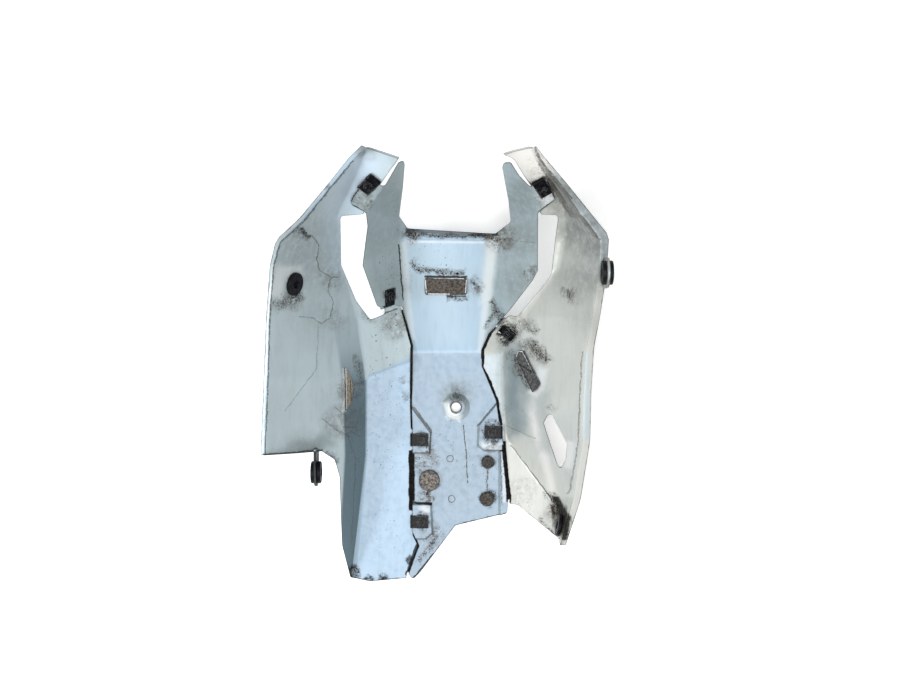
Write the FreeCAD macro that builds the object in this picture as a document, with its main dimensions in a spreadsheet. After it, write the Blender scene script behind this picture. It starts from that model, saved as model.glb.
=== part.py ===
import FreeCAD, Part
import math
import os

# Motorcycle skid plate: three thin moulded panels screwed together into a trough.
# It lies on its outside.  +Z up, +Y to the front of the machine, +X to its right.
# It is drawn with z = 0 on the floor's inner face, and lowered at the end so that the origin
# is the centre mounting hole, on the flat top of its boss.

os.makedirs("parts", exist_ok=True)
doc = FreeCAD.newDocument("SkidPlate")
Vec = FreeCAD.Vector
UP = Vec(0, 0, 1)

SIZES = [
    ("wall_thk", 2.8, "wall of every panel"),
    ("fold_reach", 4.0, "how far a fold's rounding runs into the flats beside it"),
    ("play", 0.15, "clearance between pieces that seat on each other"),
    ("corner_r", 4.0, "rounding of a panel's outline corners"),
    ("window_r", 5.0, "rounding of the three-cornered window"),
    ("mount_hole_r", 5.6, "centre mounting hole"),
    ("mount_boss_r", 20.0, "foot of the raised boss round the centre hole"),
    ("mount_flat_r", 10.5, "flat on top of that boss"),
    ("mount_rise", 5.0, "height of that boss over the floor"),
    ("shelf_slope", 3.0, "width of the slope at a raised shelf's side"),
    ("clip_thk", 1.0, "spring steel of a clip nut"),
    ("clip_wide", 15.0, "width of a clip nut"),
    ("clip_back", 9.0, "screw centre to the open end of a clip nut"),
    ("clip_reach", 10.0, "screw centre to the panel edge under the bend"),
    ("clip_leg", 6.0, "length of the short lower leg, which ends before the screw"),
    ("clip_rib", 1.3, "height of the two stiffening ribs on a clip nut"),
    ("barrel_r", 4.6, "outside of the thread barrel on a clip nut"),
    ("barrel_high", 2.6, "height of that barrel"),
    ("screw_r", 2.4, "shank of a panel screw"),
    ("screw_play", 0.6, "clearance of the screw in the panels"),
    ("screw_end", 5.0, "screw end over the inner panel"),
    ("head_r", 5.0, "countersunk head of a panel screw, flush with the outside"),
    ("head_high", 2.3, "height of that head"),
    ("hex_r", 2.0, "hexagon recess, centre to corner"),
    ("hex_deep", 1.3, "depth of the hexagon recess"),
    ("grommet_r", 12.5, "flange of a rubber grommet"),
    ("grommet_neck_r", 8.6, "neck of a grommet in its hole"),
    ("grommet_bore_r", 4.5, "bore of a grommet"),
    ("grommet_flange", 4.0, "thickness of a grommet's flange"),
    ("tab_r", 15.5, "round end of a grommet tab, and flat round a grommet in a wall"),
    ("pad_long", 50.0, "front pad, across"),
    ("pad_wide", 22.0, "front pad, along"),
    ("pad_thk", 4.0, "front pad and flank pad, thickness"),
    ("pad_round", 3.0, "corner of the front pad"),
    ("felt_thk", 1.4, "torn felt patch"),
    ("big_stop_r", 12.4, "large round stop"),
    ("mid_stop_r", 8.4, "rear small round stop"),
    ("small_stop_r", 7.4, "front small round stop"),
    ("stop_thk", 4.5, "round stops, thickness"),
]
sheet = doc.addObject("Spreadsheet::Sheet", "Sizes")
for line, (alias, number, meaning) in enumerate(SIZES, start=1):
    sheet.set("A%d" % line, meaning)
    sheet.set("B%d" % line, str(number))
    sheet.setAlias("B%d" % line, alias)
doc.recompute()


def size(alias):
    return float(sheet.get(alias))


WALL = size("wall_thk")
PLAY = size("play")
# Where two panels overlap, a clip nut's lower leg lies between them.
JOINT_GAP = size("clip_thk") + 2 * PLAY
LIFT = WALL + JOINT_GAP
FAR = 400.0
# Flats that stand in for the rounding of a fold along a panel, and of a crease across it.
FOLD_STEPS = 2
CREASE_STEPS = 1
# A bend in a panel, or a turn in its outline, of fewer degrees than this stays a plain one.
SLIGHT_BEND = 26.0
SLIGHT_TURN = 34.0


# Free-form skins.  A panel is a net of character points: each row is one station, rear to
# front or front to rear, and each column is one fold or edge that runs along the panel.
# A height of None puts the point on the flat facet of the prong.

LEFT_PRONG = [Vec(-99, 272, 166), Vec(-130, 220, 118), Vec(-98, 220, 120)]
RIGHT_PRONG = [Vec(83, 273, 167), Vec(113, 228, 126), Vec(88, 220, 120)]

# Columns: rim, top edge, wall break, fold at the floor, hidden floor edge.
LEFT_ROWS = [
    [(-100, 285, 176), (-96, 283, 178), (-94, 282, 177), (-91, 281, 176), (-58, 270, 173)],
    [(-113, 272, 177), (-109, 268, 179), (-104, 270, 172), (-99, 272, 166), (-64, 265, None)],
    [(-134, 244, 183), (-131, 240, 185), (-123, 241, 163), (-114, 245, None), (-76, 246, None)],
    [(-164, 207, 187), (-160, 203, 190), (-145, 211, 154), (-130, 220, 118), (-94, 220, None)],
    [(-188, 185, 187), (-184, 181, 190), (-158, 185, 146), (-130, 192, 100), (-94, 192, 100)],
    [(-195, 158, 184), (-191, 156, 186), (-163, 159, 134), (-130, 164, 83), (-91, 169, 83)],
    [(-201, 104, 170), (-197, 104, 172), (-140, 106, 76), (-116, 106, 31), (-48, 124, 25)],
    [(-206, 40, 155), (-201, 40, 157), (-130, 35, 62), (-108, 35, 0), (-29, 65, 0)],
    [(-212, -44, 138), (-207, -44, 140), (-128, -52, 56), (-108, -58, 0), (-29, -58, 0)],
    [(-222, -185, 110), (-217, -184, 112), (-138, -199, 40), (-125, -212, 0), (-29, -222, 0)],
]

# Columns: hidden floor edge, seam strip, fold at the floor, wall break, top edge, rim.
RIGHT_ROWS = [
    [(46, 274, 174), (58, 278, 175), (75, 282, 176), (78, 282, 177), (80, 282, 178), (83, 284, 177)],
    [(50, 266, None), (65, 269, None), (83, 273, None), (85, 270, 172), (88, 267, 179), (93, 271, 177)],
    [(74, 246, None), (87, 246, None), (104, 249, None), (106, 244, 162), (108, 240, 185), (114, 245, 183)],
    [(86, 220, None), (108, 226, None), (118, 229, None), (122, 222, 154), (125, 215, 189), (134, 219, 187)],
    [(85, 192, 97), (112, 192, 101), (122, 194, 108), (136, 190, 148), (148, 185, 190), (158, 189, 188)],
    [(82, 153, 83), (107, 155, 86), (115, 159, 92), (130, 154, 140), (147, 148, 186), (156, 149, 184)],
    [(39, 101, 45), (70, 108, 51), (77, 105, 58), (112, 105, 115), (142, 104, 172), (151, 106, 170)],
    [(17, 66, 0), (43, 66, 0), (56, 67, 0), (95, 61, 70), (137, 68, 160), (146, 72, 158)],
    [(23, 14, 0), (48, 14, 0), (58, 14, 0), (82, 17, 50), (135, 21, 151), (144, 22, 149)],
    [(26, -37, 0), (53, -37, 0), (60, -36, 0), (102, -35, 55), (135, -29, 143), (144, -28, 141)],
    [(35, -118, 0), (65, -118, 0), (116, -111, 20), (122, -105, 42), (128, -93, 113), (137, -95, 112)],
    [(35, -169, 0), (70, -169, 0), (115, -162, 20), (119, -159, 35), (116, -150, 90), (123, -150, 88)],
]

# Columns: prong tab, ear edge, bevel, keel edge, and the same four back out on the right.
CENTRE_ROWS = [
    [(-72, 271, None), (-62, 269, None), (-55, 271, 160), (-39, 274, 150),
     (34, 276, 150), (48, 273, 160), (57, 272, None), (67, 274, None)],
    [(-97, 257, None), (-79, 245, None), (-60, 248, 100), (-41, 242, 92),
     (38, 241, 92), (57, 239, 100), (79, 244, None), (100, 257, None)],
    [(-120, 229, None), (-99, 220, None), (-65, 219, 72), (-51, 215, 66),
     (36, 213, 66), (62, 215, 72), (89, 220, None), (113, 234, None)],
    [(-122, 191, 112), (-100, 193, 110), (-62, 206, 56), (-53, 206, 52),
     (37, 204, 52), (49, 204, 56), (90, 191, 110), (112, 191, 112)],
    [(-124, 152, 100), (-105, 164, 95), (-66, 195, 63), (-58, 195, 60),
     (33, 195, 60), (48, 195, 68), (91, 158, 95), (111, 147, 100)],
    [(-108, 106, 78), (-90, 117, 62), (-60, 127, 29), (-55, 128, 27),
     (29, 128, 27), (42, 127, 32), (61, 113, 58), (84, 98, 80)],
    [(-85, 66, 1), (-65, 66, 1), (-53, 66, 1), (-49, 66, 0),
     (26, 66, 0), (38, 66, 1), (53, 66, 1), (71, 66, 1)],
    [(-85, -28, 0), (-65, -28, 0), (-48, -28, 0), (-31, -28, 0),
     (19, -28, 0), (41, -28, 0), (59, -28, 0), (71, -28, 0)],
    [(-85, -220, 0), (-65, -220, 0), (-48, -220, 0), (-31, -220, 0),
     (19, -220, 0), (41, -220, 0), (59, -220, 0), (71, -220, 0)],
]


def plane_height(plane, x, y, lift):
    """Height of a prong's facet at a plan point, raised square to the facet by lift."""
    normal = (plane[1] - plane[0]).cross(plane[2] - plane[0])
    normal = normal.normalize()
    if normal.z < 0:
        normal = normal * -1
    flat = plane[0].z - (normal.x * (x - plane[0].x) + normal.y * (y - plane[0].y)) / normal.z
    return flat + lift / normal.z


def make_net(rows, lift):
    """Turns a table of rows into points, with the open heights read off the prong facets."""
    net = []
    for row in rows:
        points = []
        for x, y, z in row:
            if z is None:
                z = plane_height(LEFT_PRONG if x < 0 else RIGHT_PRONG, x, y, lift)
            points.append(Vec(x, y, z))
        net.append(points)
    return net


def bend(line, steps, rounded):
    """Points along a line; the inner corners named in rounded become a few short flats."""
    reach = size("fold_reach")
    points = [line[0]]
    for k in range(1, len(line) - 1):
        here = line[k]
        if k not in rounded:
            points.append(here)
            continue
        back = here - line[k - 1]
        ahead = line[k + 1] - here
        run = min(reach, 0.4 * back.Length, 0.4 * ahead.Length)
        enter = here - back * (run / back.Length)
        leave = here + ahead * (run / ahead.Length)
        for step in range(steps + 1):
            part = step / steps
            points.append(enter * (1 - part) ** 2 + here * (2 * part * (1 - part)) + leave * part ** 2)
    points.append(line[-1])
    return points


def true_bends(lines):
    """Places along a bundle of lines where at least one of them turns by more than a slight bend."""
    limit = math.radians(SLIGHT_BEND)
    return [k for k in range(1, len(lines[0]) - 1)
            if any((line[k] - line[k - 1]).getAngle(line[k + 1] - line[k]) > limit for line in lines)]


def dense_net(net, guide):
    """Rounds the folds that run along a net, and eases the creases across it."""
    folds = true_bends(guide)
    creases = true_bends([list(column) for column in zip(*guide)])
    rows = [bend(row, FOLD_STEPS, folds) for row in net]
    columns = [bend(list(column), CREASE_STEPS, creases) for column in zip(*rows)]
    return [list(row) for row in zip(*columns)]


def corner_normals(net, i, j):
    """Outward normals of the facets that meet at one point of a net."""
    normals = []
    for di in (-1, 1):
        for dj in (-1, 1):
            if 0 <= i + di < len(net) and 0 <= j + dj < len(net[0]):
                across = (net[i][j + dj] - net[i][j]) * dj
                along = (net[i + di][j] - net[i][j]) * di
                normals.append(across.cross(along).normalize())
    return normals


def offset_net(net, distance):
    """Moves every point so that each facet beside it shifts outward by the same distance."""
    moved = []
    for i, row in enumerate(net):
        line = []
        for j, point in enumerate(row):
            grid = FreeCAD.Matrix()
            grid.A = [0.02 if k % 5 == 0 else 0.0 for k in range(16)]
            total = Vec(0, 0, 0)
            for n in corner_normals(net, i, j):
                grid.A11 += n.x * n.x
                grid.A12 += n.x * n.y
                grid.A13 += n.x * n.z
                grid.A21 += n.y * n.x
                grid.A22 += n.y * n.y
                grid.A23 += n.y * n.z
                grid.A31 += n.z * n.x
                grid.A32 += n.z * n.y
                grid.A33 += n.z * n.z
                total = total + n
            grid.A44 = 1.0
            line.append(point + grid.inverse().multVec(total) * distance)
        moved.append(line)
    return moved


def facet(corners, swap):
    """One flat face, or two three-cornered ones where the four corners are twisted."""
    a, b, c, d = corners
    loops = [(a, b, c), (a, c, d)]
    if swap:
        loops = [(a, b, d), (b, c, d)]
    twist = (b - a).cross(d - a)
    if abs((c - a).dot(twist)) < 1e-6 * twist.Length:
        loops = [(a, b, c, d)]
    return [Part.Face(Part.makePolygon(list(loop) + [loop[0]])) for loop in loops]


def cells(points, guide):
    """Faces over a dense net; the guide net decides how a twisted cell is split."""
    faces = []
    for i in range(len(points) - 1):
        for j in range(len(points[0]) - 1):
            ring = [(i, j), (i + 1, j), (i + 1, j + 1), (i, j + 1)]
            a, b, c, d = [guide[p][q] for p, q in ring]
            faces += facet([points[p][q] for p, q in ring], (b - d).Length < (a - c).Length)
    return faces


def skin(net):
    """Inner face of a panel as an open shell."""
    points = dense_net(net, net)
    return Part.makeShell(cells(points, points))


def slab(net, near, far):
    """Solid between two offsets of a net; a positive offset lies to the outside."""
    guide = dense_net(net, net)
    inside = dense_net(offset_net(net, near), net)
    outside = dense_net(offset_net(net, far), net)
    faces = cells(inside, guide) + cells(outside, guide)
    for end in (0, -1):
        faces += cells([inside[end], outside[end]], [guide[end], guide[end]])
        inside_rim = [row[end] for row in inside]
        outside_rim = [row[end] for row in outside]
        guide_rim = [row[end] for row in guide]
        faces += cells([inside_rim, outside_rim], [guide_rim, guide_rim])
    shell = Part.makeShell(faces)
    shell.sewShape()
    solid = Part.makeSolid(Part.Shell(shell.Faces))
    if solid.Volume < 0:
        solid.reverse()
    return solid.removeSplitter()


def rounded_wire(points, radius, z):
    """Closed outline in plan; every true corner is rounded as far as its legs allow."""
    corners = [Vec(x, y, z) for x, y in points]
    count = len(corners)
    ends = []
    for k, here in enumerate(corners):
        back = corners[k - 1] - here
        ahead = corners[(k + 1) % count] - here
        half = back.getAngle(ahead) / 2
        run = min(radius / math.tan(half), 0.45 * back.Length, 0.45 * ahead.Length)
        start = here + back * (run / back.Length)
        stop = here + ahead * (run / ahead.Length)
        centre_line = (start + stop) * 0.5 - here
        arc_r = run * math.tan(half)
        if math.pi - 2 * half < math.radians(SLIGHT_TURN):
            ends.append((here, None, here))
            continue
        centre = here + centre_line * (arc_r / math.sin(half) / centre_line.Length)
        middle = centre - centre_line * (arc_r / centre_line.Length)
        ends.append((start, middle, stop))
    edges = []
    for k, (start, middle, stop) in enumerate(ends):
        if middle is not None:
            edges.append(Part.Arc(start, middle, stop).toShape())
        follow = ends[(k + 1) % count][0]
        if (follow - stop).Length > 1e-6:
            edges.append(Part.makeLine(stop, follow))
    return Part.Wire(edges)


def prism(points, radius=None, low=-FAR, high=FAR):
    """Upright block over an outline; sharp corners when no radius is given."""
    if radius is None:
        corners = [Vec(x, y, low) for x, y in points]
        wire = Part.makePolygon(corners + corners[:1])
    else:
        wire = rounded_wire(points, radius, low)
    return Part.Face(wire).extrude(UP * (high - low))


def grown(points, amount):
    """Outline moved outward by an amount, corner by corner."""
    centre_x = sum(p[0] for p in points) / len(points)
    centre_y = sum(p[1] for p in points) / len(points)
    moved = []
    for k, (x, y) in enumerate(points):
        here = Vec(x, y, 0)
        back = (here - Vec(*points[k - 1], 0)).normalize()
        ahead = (Vec(*points[(k + 1) % len(points)], 0) - here).normalize()
        out_back = back.cross(UP)
        out_ahead = ahead.cross(UP)
        if (out_back + out_ahead).dot(here - Vec(centre_x, centre_y, 0)) < 0:
            out_back = out_back * -1
            out_ahead = out_ahead * -1
        shift = (out_back + out_ahead) * (amount / (1 + out_back.dot(out_ahead)))
        moved.append((x + shift.x, y + shift.y))
    return moved


def frustum(points, low, high):
    """Block over an outline whose sides lean in by 45 degrees or so towards the top."""
    slope = size("shelf_slope")
    wires = []
    for outline, z in ((points, low), (grown(points, -slope), high)):
        corners = [Vec(x, y, z) for x, y in outline]
        wires.append(Part.makePolygon(corners + corners[:1]))
    return Part.makeLoft(wires, True, True)


def hit(shell, start, stop):
    """Point of a skin nearest the start of a straight line, and the normal towards it."""
    pairs = Part.makeLine(start, stop).distToShape(shell)[1]
    near = min((pair[1] for pair in pairs), key=lambda point: (point - start).Length)
    touch = Part.Vertex(near)
    face = min(shell.Faces, key=lambda one: one.distToShape(touch)[0])
    normal = face.normalAt(0, 0)
    if normal.dot(start - stop) < 0:
        normal = normal * -1
    return near, normal


def turned(origin, toward, normal):
    """Placement with local Z along the normal and local X to the given side."""
    side = (toward - normal * toward.dot(normal)).normalize()
    return FreeCAD.Placement(origin, FreeCAD.Rotation(side, normal.cross(side), normal, "ZXY"))


def drop_seat(shell, x, y, toward):
    """Placement on a skin straight below a plan point."""
    near, normal = hit(shell, Vec(x, y, FAR), Vec(x, y, -FAR))
    return turned(near, toward, normal)


def placed(shape, placement):
    copy = shape.copy()
    copy.Placement = placement
    return copy


left_net = make_net(LEFT_ROWS, 0.0)
right_net = make_net(RIGHT_ROWS, 0.0)
centre_net = make_net(CENTRE_ROWS, LIFT)
left_inner = skin(left_net)
right_inner = skin(right_net)
centre_inner = skin(centre_net)


# Outlines in plan.  What lies inside a cutting outline is taken off the panel.

LEFT_SEAM = [
    (-40, 300), (-62, 271), (-69, 264), (-84.5, 245.5), (-102.5, 219), (-128, 217), (-130, 165),
    (-116, 126), (-101, 104), (-84, 111), (-84, 126), (-82, 132), (-75, 132), (-75, 126),
    (-68, 126), (-68, 120), (-66, 120.5), (-54, 74), (-55, 2), (-54, -28), (-35, -28),
    (-35, -50), (-54, -50), (-54, -125), (-35, -125), (-35, -148), (-54, -149), (-46, -166),
    (-59, -200), (-60, -206), (-60, -260), (20, -260), (20, 300),
]
LEFT_REAR = [
    (-260, -44), (-206, -44), (-174, -45), (-152, -45), (-139, -56), (-134, -77),
    (-133, -159), (-126, -204), (-103, -209), (-60, -205), (-50, -205), (-50, -260), (-260, -260),
]
RIGHT_SEAM = [
    (-20, 300), (45, 291), (49, 276), (58, 273), (62, 270), (72, 256.5), (83.5, 243),
    (92.5, 218.5), (112, 218),
    (107, 155), (101, 145), (71, 108), (62, 109), (55, 105), (40, 86), (32, 67), (32, 49),
    (40, 31), (49, 9), (53, -20), (34, -20), (34, -41), (58, -41), (64.5, -112), (64, -116),
    (74, -117), (115, -149), (123, -153), (150, -160), (150, -220), (-20, -220),
]
THREE_CORNER_WINDOW = [(106, 1), (123, -35), (122, -53), (117, -68), (100, -14)]
CENTRE_OUTLINE = [
    (-55, 272), (-62, 268), (-78, 245), (-96, 255), (-117, 229), (-99, 220), (-98, 206),
    (-105, 164), (-90, 117), (-77, 122), (-63, 120), (-52, 74), (-53, 2), (-52, -28),
    (-52, -150), (-44, -166), (-57, -200),
    (-52, -207), (-43, -198), (-19, -166), (-1, -142), (61, -127), (62, -112), (57, -46),
    (53, -28), (48, 8), (39, 30), (31, 49), (31, 68), (39, 88), (54, 106), (61, 114),
    (86, 148), (91, 158), (89, 220), (107, 233), (96, 254), (79, 245), (67, 256), (57, 269),
    (48, 270), (58, 237), (62, 215), (45, 203), (-5, 206), (-56, 209), (-65, 221), (-60, 248),
]
# Raised shelves of the centre panel, under which the side panels' tongues lie.
SHELVES = [
    [(-70, 2), (-52, 2), (-28, -30), (-30, -57), (-70, -57)],
    [(-70, -114), (-28, -114), (-26, -152), (-36, -160), (-70, -160)],
    [(70, 8), (49, 8), (25, -21), (24, -47), (33, -54), (70, -54)],
    [(70, -50), (50, -50), (50, -140), (70, -140)],
]

# Clip nuts: each sits over the edge of the inner panel, and its screw comes from outside.
# The direction points from the screw to the edge under the clip's bend.
SHELF = Vec(0, 0, LIFT)
CLIP_SEATS = {
    "left_prong": drop_seat(centre_inner, -95.2, 245.9, Vec(0.6, 0.8, 0)),
    "right_prong": drop_seat(centre_inner, 93.4, 243, Vec(-0.45, 0.893, 0)),
    "left_flank": drop_seat(centre_inner, -77, 131, Vec(0.35, -0.94, 0)),
    "right_ramp": drop_seat(right_inner, 61, 89, Vec(-0.785, 0.62, 0)),
    "left_floor": turned(Vec(-42, -39, 0) + SHELF, Vec(-1, 0, 0), UP),
    "right_floor": turned(Vec(43, -30, 0) + SHELF, Vec(1, 0, 0), UP),
    "left_tail": turned(Vec(-42, -137, 0) + SHELF, Vec(-1, 0, 0), UP),
}
SCREW_HOLE_R = size("screw_r") + size("screw_play")
NOTCH_LONG = 14.0
NOTCH_DEEP = 3.0
CLIP_MARGIN = 1.5
ROOM = 6.0


def screw_hole(name):
    hole = Part.makeCylinder(SCREW_HOLE_R, 8 * WALL, Vec(0, 0, -6 * WALL))
    return placed(hole, CLIP_SEATS[name])


def sunk_hole(name):
    """Screw hole through an outer panel, with a countersink in its outside."""
    outside = -LIFT - WALL
    sink = Part.makeCone(
        size("head_r") + PLAY, size("screw_r") + PLAY, size("head_high"), Vec(0, 0, outside))
    below = Part.makeCylinder(size("head_r") + PLAY, ROOM, Vec(0, 0, outside - ROOM))
    return screw_hole(name).fuse(placed(sink.fuse(below), CLIP_SEATS[name]))


def clip_notch(name):
    """Squares the panel's edge off under a clip's bend."""
    wide = size("clip_wide") + 4 * PLAY
    box = Part.makeBox(
        NOTCH_LONG, wide, WALL + 2 * NOTCH_DEEP,
        Vec(size("clip_reach"), -wide / 2, -WALL - NOTCH_DEEP))
    return placed(box, CLIP_SEATS[name])


def clip_box(name, start, stop, low, high, margin=CLIP_MARGIN):
    """Block in a clip's own frame: along its length, a little wider than the clip, low to high."""
    wide = size("clip_wide") + 2 * margin
    box = Part.makeBox(stop - start, wide, high - low, Vec(start, -wide / 2, low))
    return placed(box, CLIP_SEATS[name])


def clip_flat(panel, name):
    """Flattens the panel under a clip that sits on a bent wall."""
    start = -size("clip_back") - CLIP_MARGIN
    stop = size("clip_reach")
    panel = panel.cut(clip_box(name, start, stop, 0.0, ROOM))
    panel = panel.cut(clip_box(name, start, stop, -WALL - ROOM, -WALL))
    return panel.fuse(clip_box(name, start, stop, -WALL, 0.0))


# Grommets: two sit in the walls, two on upright tabs of their own.
FRONT_RIGHT_TAB = turned(Vec(153, 150, 200), Vec(0, -1, 0), Vec(-1, 0, 0))
REAR_LEFT_TAB = turned(Vec(-156, -68, 88), Vec(0, 0, 1), Vec(1, 0, 0))
rear_right_point, rear_right_normal = hit(right_inner, Vec(60, -131, 68), Vec(200, -131, 68))
GROMMET_SEATS = {
    "front_left_grommet": drop_seat(left_inner, -175, 141, Vec(0, 1, 0)),
    "front_right_grommet": FRONT_RIGHT_TAB,
    "rear_left_grommet": REAR_LEFT_TAB,
    "rear_right_grommet": turned(rear_right_point, Vec(0, 1, 0), rear_right_normal),
}
FRONT_RIGHT_STEM = 18.0
REAR_LEFT_STEM = 27.0


def tab(placement, stem):
    """Upright tab: a round end about the grommet and a stem along local minus Y."""
    radius = size("tab_r")
    disc = Part.makeCylinder(radius, WALL, Vec(0, 0, -WALL))
    leg = Part.makeBox(2 * radius, stem, WALL, Vec(-radius, -stem, -WALL))
    return placed(disc.fuse(leg), placement)


def grommet_hole(name):
    hole = Part.makeCylinder(size("grommet_neck_r") + PLAY, 4 * WALL, Vec(0, 0, -2.5 * WALL))
    return placed(hole, GROMMET_SEATS[name])


def grommet_flat(panel, name):
    """Flattens the wall round a grommet."""
    def disc(low, high):
        return placed(Part.makeCylinder(size("tab_r"), high - low, Vec(0, 0, low)), GROMMET_SEATS[name])
    panel = panel.cut(disc(0.0, ROOM)).cut(disc(-WALL - ROOM, -WALL))
    return panel.fuse(disc(-WALL, 0.0))


# Left panel: its wall, its floor strip, and a tongue that runs up under the centre's flank.
TONGUE_LONG = 15.0
left_shape = slab(left_net, 0.0, WALL)
left_shape = left_shape.cut(prism(LEFT_SEAM, size("corner_r")))
left_shape = left_shape.cut(prism(LEFT_REAR, size("corner_r")))
tongue = clip_box("left_flank", -size("clip_back"), TONGUE_LONG, -LIFT - WALL, -LIFT)
over_tongue = clip_box("left_flank", -2 * TONGUE_LONG, 2 * TONGUE_LONG, -LIFT, 4 * ROOM)
head_room = placed(
    Part.makeCylinder(size("head_r") + CLIP_MARGIN, 2 * ROOM, Vec(0, 0, -LIFT - WALL - 2 * ROOM)),
    CLIP_SEATS["left_flank"])
left_shape = left_shape.cut(over_tongue).cut(head_room).fuse(tongue)
left_shape = left_shape.fuse(tab(REAR_LEFT_TAB, REAR_LEFT_STEM))
left_shape = grommet_flat(left_shape, "front_left_grommet")
for name in ("left_prong", "left_flank", "left_floor", "left_tail"):
    left_shape = left_shape.cut(sunk_hole(name))
for name in ("front_left_grommet", "rear_left_grommet"):
    left_shape = left_shape.cut(grommet_hole(name))

# Right panel: the steeper wall with the three-cornered window, cut away for the exhaust.
right_shape = slab(right_net, 0.0, WALL)
right_shape = right_shape.cut(prism(RIGHT_SEAM, size("corner_r")))
right_shape = right_shape.cut(prism(THREE_CORNER_WINDOW, size("window_r")))
right_shape = clip_flat(right_shape, "right_ramp").cut(clip_notch("right_ramp"))
right_shape = grommet_flat(right_shape, "rear_right_grommet")
right_shape = right_shape.fuse(tab(FRONT_RIGHT_TAB, FRONT_RIGHT_STEM))
for name in ("right_prong", "right_floor"):
    right_shape = right_shape.cut(sunk_hole(name))
right_shape = right_shape.cut(screw_hole("right_ramp"))
for name in ("front_right_grommet", "rear_right_grommet"):
    right_shape = right_shape.cut(grommet_hole(name))

# Centre panel: keel, flanks, ears and floor, with a tongue under the right panel's ramp.
RAMP_WEB = [(40.5, 90.5), (53.5, 106.5), (51.3, 108.3), (38.3, 92.3)]
RAMP_TONGUE_LONG = 22.0
WEB_DEEP = 30.0
centre_shape = slab(centre_net, 0.0, WALL)
for shelf in SHELVES:
    centre_shape = centre_shape.fuse(frustum(shelf, -WALL, LIFT))
for shelf in SHELVES:
    centre_shape = centre_shape.cut(frustum(grown(shelf, -WALL), -2 * WALL, JOINT_GAP))
boss_high = size("mount_rise") + WALL
boss = Part.makeCone(size("mount_boss_r"), size("mount_flat_r"), boss_high, Vec(0, 0, -WALL))
hollow = Part.makeCone(
    size("mount_boss_r") - WALL, size("mount_flat_r") - WALL, boss_high, Vec(0, 0, -2 * WALL))
centre_shape = centre_shape.fuse(boss).cut(hollow)
centre_shape = centre_shape.cut(
    Part.makeCylinder(size("mount_hole_r"), 20 * WALL, Vec(0, 0, -10 * WALL)))
centre_shape = centre_shape.common(prism(CENTRE_OUTLINE, size("corner_r")))
web = slab(centre_net, 0.0, WEB_DEEP).common(prism(RAMP_WEB))
web = web.cut(clip_box("right_ramp", -FAR, FAR, -FAR, -LIFT - WALL, FAR))
tongue = clip_box("right_ramp", -size("clip_back"), RAMP_TONGUE_LONG, -LIFT - WALL, -LIFT, 0.0)
centre_shape = clip_flat(centre_shape, "left_flank").fuse(web).fuse(tongue)
for name in ("left_prong", "right_prong", "left_flank", "left_floor", "right_floor", "left_tail"):
    centre_shape = centre_shape.cut(clip_notch(name))
    centre_shape = centre_shape.cut(screw_hole(name))
centre_shape = centre_shape.cut(sunk_hole("right_ramp"))

nodes = []


def add_panel(label, shape):
    node = doc.addObject("Part::Feature", label)
    node.Shape = shape.removeSplitter()
    node.Label = label
    nodes.append(node)


add_panel("left_side_panel", left_shape)
add_panel("right_side_panel", right_shape)
add_panel("centre_panel", centre_shape)


# Small parts.  Each feature's sizes are tied to the sheet.

def feature(body, kind, name, ties, placement=None):
    item = body.newObject("PartDesign::" + kind, name)
    if placement is not None:
        item.Placement = placement
    for prop, formula in ties.items():
        item.setExpression(prop, formula)
    return item


def new_body(name):
    body = doc.addObject("PartDesign::Body", name)
    body.Label = name
    return body


clip = new_body("clip_nut_pattern")
LIE_ALONG_Y = FreeCAD.Placement(Vec(0, 0, 0), FreeCAD.Rotation(Vec(1, 0, 0), -90))
BEND_X = "Sizes.clip_reach + Sizes.play"
feature(clip, "AdditiveCylinder", "clip_bend", {
    "Radius": "Sizes.wall_thk / 2 + Sizes.play + Sizes.clip_thk",
    "Height": "Sizes.clip_wide",
    "Placement.Base.x": BEND_X,
    "Placement.Base.y": "-Sizes.clip_wide / 2",
    "Placement.Base.z": "-Sizes.wall_thk / 2"}, LIE_ALONG_Y)
feature(clip, "SubtractiveCylinder", "clip_bend_inside", {
    "Radius": "Sizes.wall_thk / 2 + Sizes.play",
    "Height": "Sizes.clip_wide + 2",
    "Placement.Base.x": BEND_X,
    "Placement.Base.y": "-Sizes.clip_wide / 2 - 1",
    "Placement.Base.z": "-Sizes.wall_thk / 2"}, LIE_ALONG_Y)
feature(clip, "SubtractiveBox", "clip_mouth", {
    "Length": "2 * Sizes.wall_thk",
    "Width": "Sizes.clip_wide + 2",
    "Height": "3 * Sizes.wall_thk",
    "Placement.Base.x": BEND_X + " - 2 * Sizes.wall_thk",
    "Placement.Base.y": "-Sizes.clip_wide / 2 - 1",
    "Placement.Base.z": "-2 * Sizes.wall_thk"})
feature(clip, "AdditiveBox", "clip_upper_leg", {
    "Length": "Sizes.clip_back + " + BEND_X,
    "Width": "Sizes.clip_wide",
    "Height": "Sizes.clip_thk",
    "Placement.Base.x": "-Sizes.clip_back",
    "Placement.Base.y": "-Sizes.clip_wide / 2",
    "Placement.Base.z": "Sizes.play"})
feature(clip, "AdditiveBox", "clip_lower_leg", {
    "Length": "Sizes.clip_leg",
    "Width": "Sizes.clip_wide",
    "Height": "Sizes.clip_thk",
    "Placement.Base.x": BEND_X + " - Sizes.clip_leg",
    "Placement.Base.y": "-Sizes.clip_wide / 2",
    "Placement.Base.z": "-Sizes.wall_thk - Sizes.play - Sizes.clip_thk"})
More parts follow.
